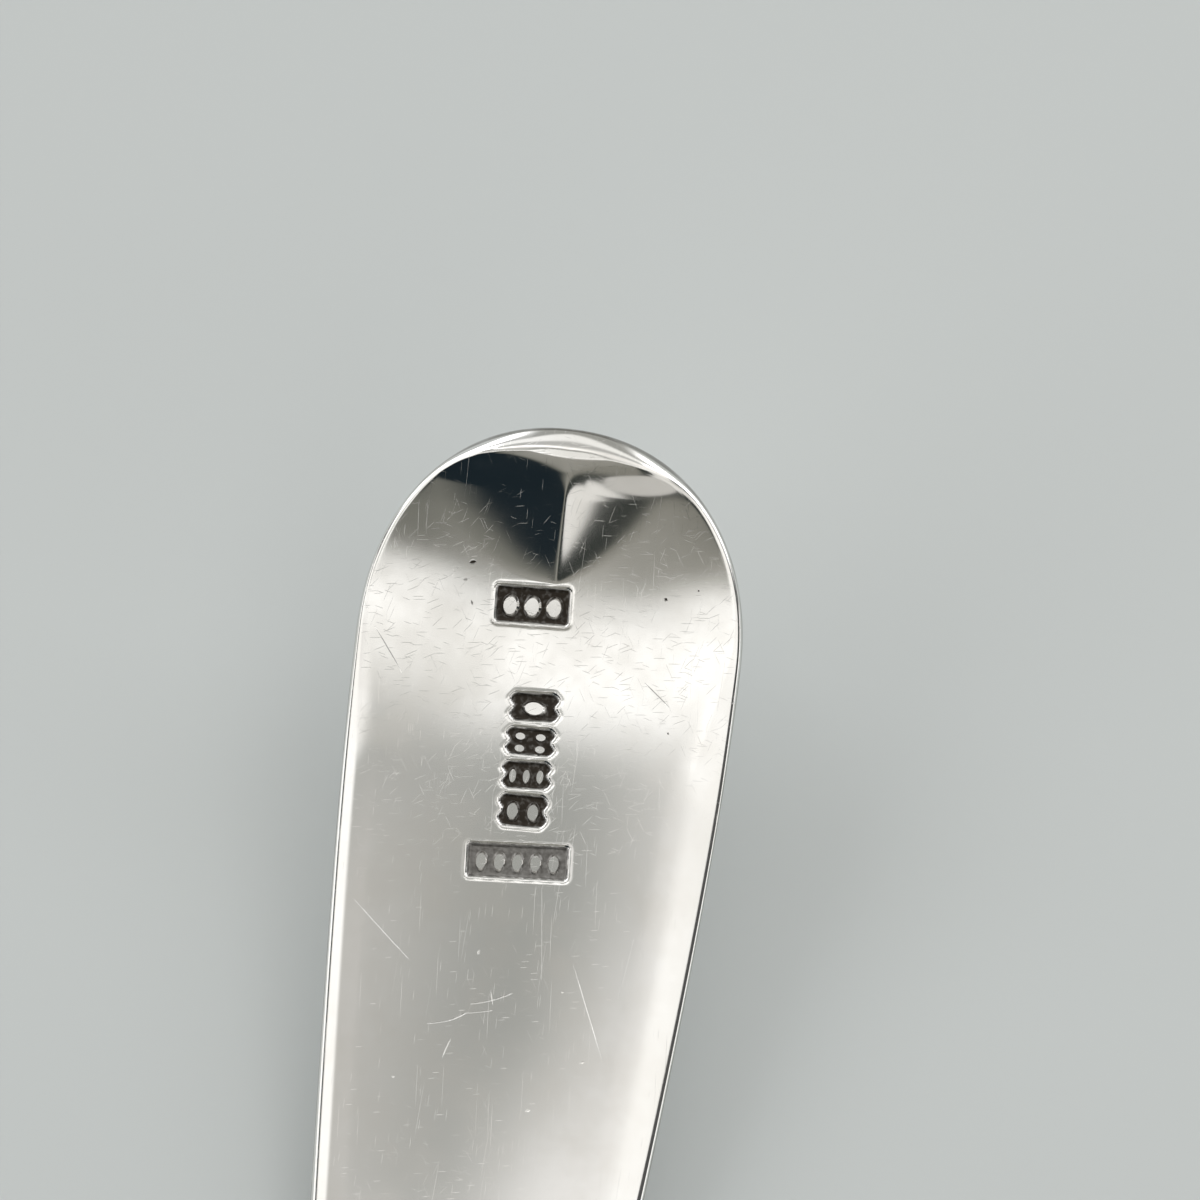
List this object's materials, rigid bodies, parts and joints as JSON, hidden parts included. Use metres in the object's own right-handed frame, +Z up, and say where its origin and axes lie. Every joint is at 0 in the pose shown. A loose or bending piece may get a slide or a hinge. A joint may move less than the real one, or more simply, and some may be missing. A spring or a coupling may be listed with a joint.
{
  "type": "dessert spoon",
  "caption": "Dessert spoon with an egg-shaped bowl, a rounded drop on its back, and an arched stem that widens to a round end turned towards the back with a short rib.",
  "frame": {"origin": "on the table under the middle of the spoon, which lies face down on the tip of its bowl and the crown of its stem", "axes": "+Y along the spoon towards the end of the handle, +Z up, on the side of the spoon's back"},
  "size_m": [0.0384, 0.1812, 0.0171],
  "materials": {
    "silver": "old polished sterling silver with fine scratches all over"
  },
  "bodies": {
    "root": {"bowl": "silver", "drop": "silver", "stem": "silver"}
  },
  "joints": []
}
